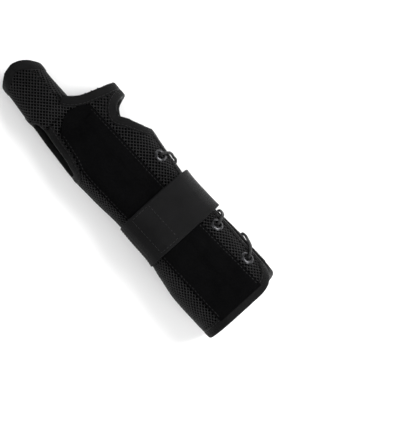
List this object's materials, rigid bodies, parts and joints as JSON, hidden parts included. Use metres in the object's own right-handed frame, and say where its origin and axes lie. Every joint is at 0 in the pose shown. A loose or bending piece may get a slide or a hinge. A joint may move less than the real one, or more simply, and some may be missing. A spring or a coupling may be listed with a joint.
{
  "type": "wrist splint",
  "caption": "Left-hand ulnar-gutter wrist splint: laced mesh sleeve with a ring and little finger sleeve, wrist strap and slide-out aluminium stays.",
  "frame": {"origin": "middle of the cuff's edge at the level of the surface that the splint lies on", "axes": "+X along the forearm from the cuff to the fingertips, +Y to the little-finger side, +Z to the back of the hand"},
  "size_m": [0.3071, 0.0925, 0.0697],
  "materials": {
    "spacer_mesh": "open diamond spacer mesh over foam, matt black",
    "binding_tape": "folded twill tape, matt black",
    "loop_pile": "brushed loop pile, deep matt black",
    "eyelet_metal": "black nickel, glossy",
    "lace_cord": "round braided cord",
    "strap_webbing": "fine woven loop tape, charcoal",
    "ribbed_elastic": "ribbed knitted elastic",
    "hook_tape": "moulded hook tape",
    "stay_aluminium": "mill finish, rounded ends",
    "pocket_cloth": "brushed tricot lining"
  },
  "bodies": {
    "sleeve": {"dorsal_mesh_panel": "spacer_mesh", "volar_mesh_panel": "spacer_mesh", "finger_sleeve_dorsal": "spacer_mesh", "finger_sleeve_volar": "spacer_mesh", "cuff_binding": "binding_tape", "dorsal_lace_edge_binding": "binding_tape", "volar_lace_edge_binding": "binding_tape", "thumb_opening_binding": "binding_tape", "knuckle_binding": "binding_tape", "ulnar_opening_binding": "binding_tape", "finger_sleeve_binding": "binding_tape", "ulnar_seam_tape": "binding_tape", "dorsal_loop_panel": "loop_pile", "dorsal_eyelets": "eyelet_metal", "volar_eyelets": "eyelet_metal", "dorsal_eyelet_washers": "eyelet_metal", "volar_eyelet_washers": "eyelet_metal", "lace": "lace_cord", "lace_stopper_knots": "lace_cord", "strap_woven_run": "strap_webbing", "strap_elastic_run": "ribbed_elastic", "dorsal_stay_pocket": "pocket_cloth", "palm_stay_pocket": "pocket_cloth", "finger_stay_pocket": "pocket_cloth"},
    "strap_tail_body": {"strap_tail": "strap_webbing", "strap_hook_tab": "hook_tape"},
    "dorsal_stay_body": {"dorsal_stay": "stay_aluminium"},
    "palm_stay_body": {"palm_stay": "stay_aluminium"},
    "finger_stay_body": {"finger_stay": "stay_aluminium"}
  },
  "joints": [
    {"name": "strap_tail_peel", "type": "hinge", "parent": "sleeve", "child": "strap_tail_body", "pos_m": [0.1055, -0.01685, 0.06035], "axis": [0.9935, 0, -0.1135], "range_deg": [0, 150]},
    {"name": "dorsal_stay_slide", "type": "slide", "parent": "sleeve", "child": "dorsal_stay_body", "axis": [-0.9935, 0, 0.1135], "range_m": [0, 0.225]},
    {"name": "palm_stay_slide", "type": "slide", "parent": "sleeve", "child": "palm_stay_body", "axis": [-1, 0, 0], "range_m": [0, 0.217]},
    {"name": "finger_stay_slide", "type": "slide", "parent": "sleeve", "child": "finger_stay_body", "axis": [-1, 0, 0], "range_m": [0, 0.295]}
  ]
}
